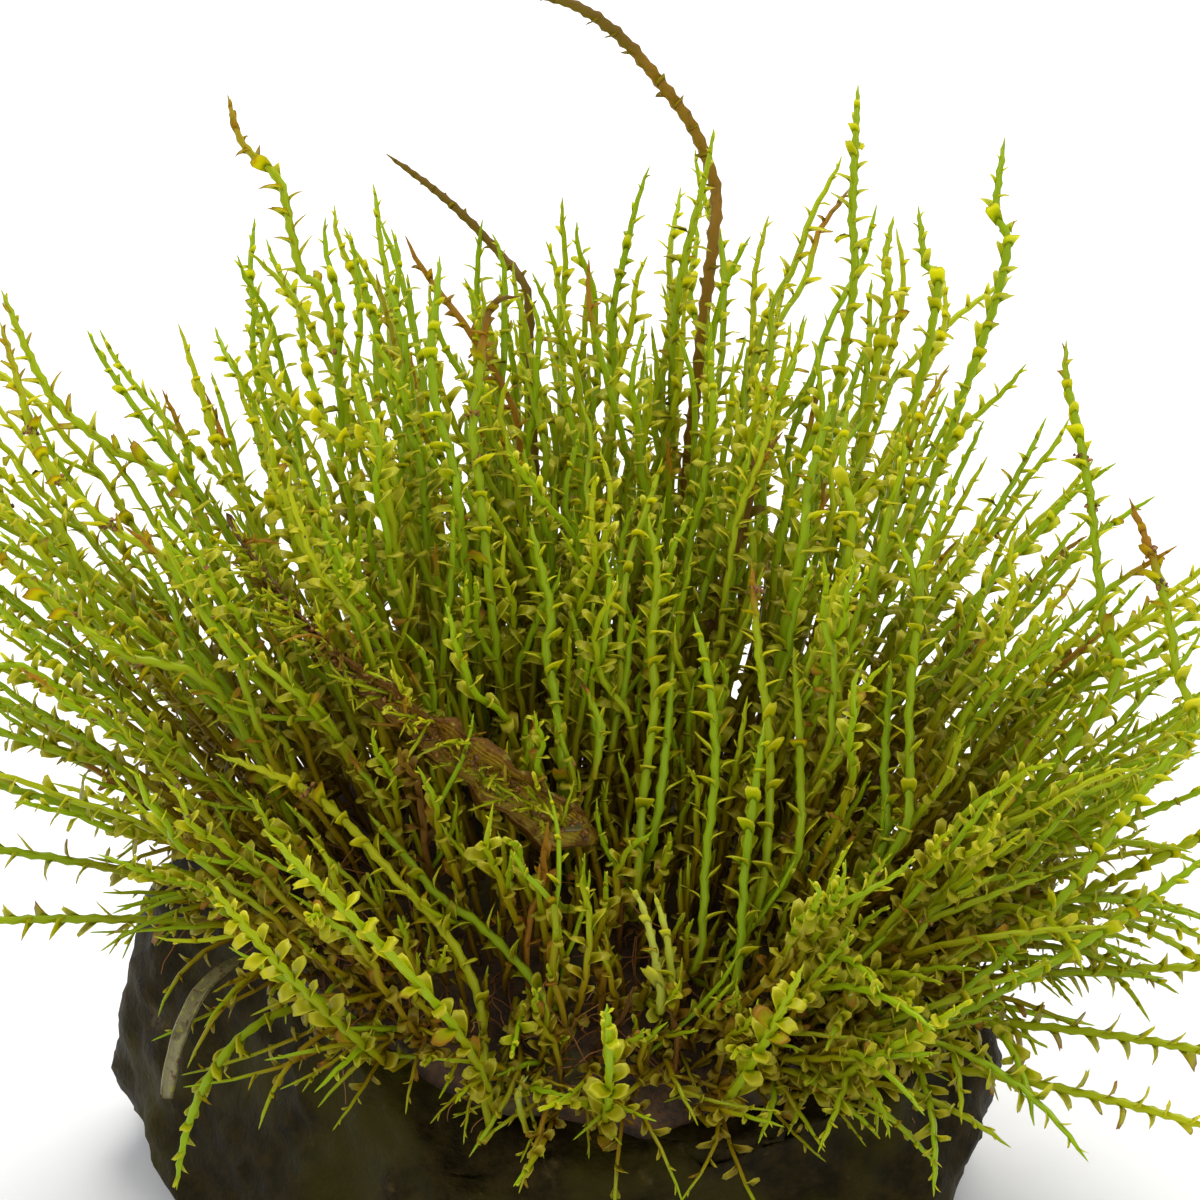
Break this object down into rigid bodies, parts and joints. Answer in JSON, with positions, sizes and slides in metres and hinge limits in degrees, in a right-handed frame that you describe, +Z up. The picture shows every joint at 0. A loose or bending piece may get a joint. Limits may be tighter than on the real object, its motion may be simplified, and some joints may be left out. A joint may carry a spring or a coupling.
{
  "type": "moss clump on a stone",
  "caption": "Dense clump of thread-fine leafy moss shoots fanning out from a rhizoid mat on a small dark stone with a flat underside, for a natural or macro setting.",
  "frame": {"origin": "on the stone's flat underside, under the middle of the clump", "axes": "+Z up, +X to the clump's right, -Y towards its front"},
  "size_m": [0.0245, 0.0193, 0.0196],
  "materials": {
    "stone": "matte",
    "rhizoid_mat": "matte",
    "moss": "satin",
    "moss_shoot": "satin",
    "dead_leaf": "matte",
    "pale_leaf": "matte"
  },
  "bodies": {
    "root": {"stone": "stone", "rhizoid_mat": "rhizoid_mat", "tuft_center": "moss", "tuft_inner_right": "moss", "tuft_inner_back": "moss", "tuft_inner_left": "moss", "tuft_inner_front": "moss", "tuft_rim_right": "moss", "tuft_rim_back_right": "moss", "tuft_rim_back": "moss", "tuft_rim_back_left": "moss", "tuft_rim_left": "moss", "tuft_rim_front_left": "moss", "tuft_rim_front": "moss", "tuft_rim_front_right": "moss", "shoot_left_1": "moss_shoot", "shoot_left_2": "moss_shoot", "shoot_left_3": "moss_shoot", "shoot_left_4": "moss_shoot", "shoot_hanging_left": "moss_shoot", "shoot_front_1": "moss_shoot", "shoot_crossing_front": "moss_shoot", "shoot_front_2": "moss_shoot", "shoot_front_3": "moss_shoot", "shoot_front_4": "moss_shoot", "shoot_trailing_right_1": "moss_shoot", "shoot_trailing_right_2": "moss_shoot", "shoot_trailing_right_3": "moss_shoot", "shoot_right_1": "moss_shoot", "shoot_right_2": "moss_shoot", "shoot_back_1": "moss_shoot", "shoot_back_2": "moss_shoot", "shoot_back_3": "moss_shoot", "shoot_back_4": "moss_shoot", "dead_leaf_strap": "dead_leaf", "dead_arching_stem": "dead_leaf", "dead_thin_stem": "dead_leaf", "pale_leaf_blade": "pale_leaf"}
  },
  "joints": []
}
